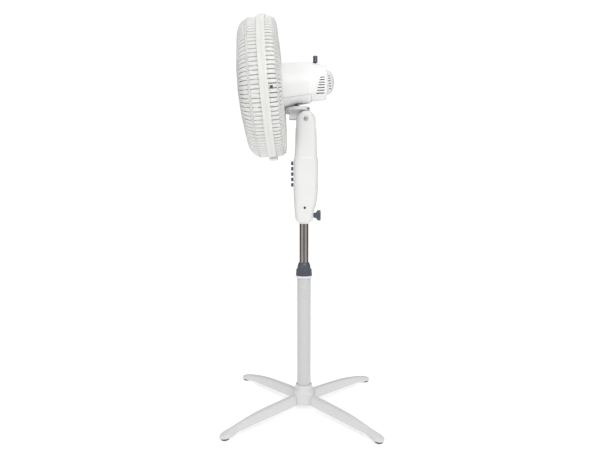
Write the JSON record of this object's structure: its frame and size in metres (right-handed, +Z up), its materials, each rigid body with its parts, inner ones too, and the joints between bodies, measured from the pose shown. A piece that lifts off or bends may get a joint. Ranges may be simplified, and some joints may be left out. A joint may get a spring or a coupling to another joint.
{
  "type": "pedestal fan",
  "caption": "Free-standing electric fan: cross base, telescopic pole, button housing and a tilting, oscillating head with a ribbed round guard.",
  "frame": {"origin": "on the floor, on the axis of the pole, at the centre of the cross base", "axes": "+Z up along the pole; the fan blows towards -Y and its buttons face -Y; +X is the fan's own left side"},
  "size_m": [0.4694, 0.4694, 1.2061],
  "materials": {
    "white_plastic": "satin moulded",
    "guard_plastic": "satin moulded",
    "pale_grey_plastic": "fine grain",
    "white_enamel": "smooth stoved enamel",
    "slate_plastic": "fine grain",
    "black_rubber": "matte",
    "dark_chrome": "dark bright plating",
    "zinc_steel": "zinc plated",
    "lamination_steel": "varnished laminations",
    "natural_nylon": "natural nylon"
  },
  "bodies": {
    "base": {"base_hub": "white_plastic", "leg_1": "white_plastic", "leg_2": "white_plastic", "leg_3": "white_plastic", "leg_4": "white_plastic", "foot_1": "black_rubber", "foot_2": "black_rubber", "foot_3": "black_rubber", "foot_4": "black_rubber", "outer_pole": "white_enamel", "pole_plug": "natural_nylon", "pole_washer": "zinc_steel", "pole_bolt": "zinc_steel", "pole_collet": "white_plastic"},
    "collar": {"height_collar": "slate_plastic"},
    "mast": {"inner_tube": "dark_chrome", "guide_bush": "natural_nylon", "neck_left": "white_plastic", "neck_right": "white_plastic", "control_panel": "white_plastic", "switch_block": "pale_grey_plastic", "tilt_bolt": "zinc_steel", "tilt_nut": "zinc_steel", "neck_screw": "zinc_steel"},
    "clamp": {"clamp_knob": "slate_plastic", "clamp_screw": "zinc_steel"},
    "tilting_bracket": {"tilt_bracket": "pale_grey_plastic", "cup_screw": "zinc_steel", "swivel_post": "zinc_steel", "post_clip": "zinc_steel", "link_pin": "zinc_steel"},
    "link": {"osc_link": "zinc_steel"},
    "head": {"motor_cover_top": "white_plastic", "motor_cover_bottom": "white_plastic", "rear_cap": "white_plastic", "motor_front_plate": "pale_grey_plastic", "stator": "lamination_steel", "gearbox_case": "pale_grey_plastic", "gearbox_lid": "pale_grey_plastic", "rear_guard": "guard_plastic", "guard_nut": "pale_grey_plastic", "front_guard": "guard_plastic", "guard_band": "guard_plastic", "guard_clip_top": "guard_plastic", "guard_clip_bottom": "guard_plastic", "front_badge": "guard_plastic"},
    "rotor": {"motor_shaft": "zinc_steel", "rotor_core": "lamination_steel", "fan_blade": "guard_plastic", "blade_nut": "slate_plastic"},
    "knob": {"osc_knob": "slate_plastic"},
    "wheel": {"worm_wheel": "natural_nylon"},
    "pinion": {"drive_pinion": "zinc_steel"},
    "crank_disc": {"crank": "zinc_steel"},
    "push_1": {"button_1": "slate_plastic"},
    "push_2": {"button_2": "slate_plastic"},
    "push_3": {"button_3": "slate_plastic"},
    "push_4": {"button_4": "slate_plastic"},
    "push_5": {"button_5": "slate_plastic"}
  },
  "joints": [
    {"name": "height_slide", "type": "slide", "parent": "base", "child": "mast", "axis": [0, 0, 1], "range_m": [-0.105, 0.15]},
    {"name": "collar_turn", "type": "hinge", "parent": "base", "child": "collar", "pos_m": [0, 0, 0.412], "axis": [0, 0, 1], "range_deg": [0, 180]},
    {"name": "clamp_turn", "type": "hinge", "parent": "mast", "child": "clamp", "pos_m": [0, 0.03, 0.6072], "axis": [0, 1, 0], "range_deg": [0, 180]},
    {"name": "button_1_press", "type": "slide", "parent": "mast", "child": "push_1", "axis": [0, 1, 0], "range_m": [0, 0.004], "stiffness_N_per_m": 400},
    {"name": "button_2_press", "type": "slide", "parent": "mast", "child": "push_2", "axis": [0, 1, 0], "range_m": [0, 0.004], "stiffness_N_per_m": 400},
    {"name": "button_3_press", "type": "slide", "parent": "mast", "child": "push_3", "axis": [0, 1, 0], "range_m": [0, 0.004], "stiffness_N_per_m": 400},
    {"name": "button_4_press", "type": "slide", "parent": "mast", "child": "push_4", "axis": [0, 1, 0], "range_m": [0, 0.004], "stiffness_N_per_m": 400},
    {"name": "button_5_press", "type": "slide", "parent": "mast", "child": "push_5", "axis": [0, 1, 0], "range_m": [0, 0.004], "stiffness_N_per_m": 400},
    {"name": "head_tilt", "type": "hinge", "parent": "mast", "child": "tilting_bracket", "pos_m": [0, 0.0055, 0.8965], "axis": [1, 0, 0], "range_deg": [-22, 8]},
    {"name": "oscillate", "type": "hinge", "parent": "tilting_bracket", "child": "head", "pos_m": [0, -0.02, 0.9953], "axis": [0, 0, 1], "range_deg": [-40, 40]},
    {"name": "link_swing", "type": "hinge", "parent": "tilting_bracket", "child": "link", "pos_m": [0.0138, -0.0154, 0.9617], "axis": [0, 0, 1], "range_deg": [-40, 40]},
    {"name": "crank_turn", "type": "hinge", "parent": "head", "child": "crank_disc", "pos_m": [0, 0.03, 0.9669], "axis": [0, 0, 1], "range_deg": [-91, 91]},
    {"name": "pinion_turn", "type": "hinge", "parent": "head", "child": "pinion", "pos_m": [0.013, 0.0331, 0.98], "axis": [0, 0, 1], "range_deg": [-242, 242]},
    {"name": "rotor_spin", "type": "hinge", "parent": "head", "child": "rotor", "pos_m": [0, -0.02, 0.9953], "axis": [0, -0.997, -0.0778], "continuous": true},
    {"name": "wheel_spin", "type": "hinge", "parent": "head", "child": "wheel", "pos_m": [0.013, 0.0331, 1], "axis": [0, 0, 1], "continuous": true},
    {"name": "knob_pull", "type": "slide", "parent": "head", "child": "knob", "axis": [0, 0, 1], "range_m": [0, 0.008]}
  ],
  "couplings": [
    {"joint": "crank_turn", "follows": "oscillate", "ratio": 2.25},
    {"joint": "pinion_turn", "follows": "oscillate", "ratio": -5.9},
    {"joint": "link_swing", "follows": "oscillate", "ratio": 1},
    {"joint": "wheel_spin", "follows": "rotor_spin", "ratio": 0.041667}
  ]
}
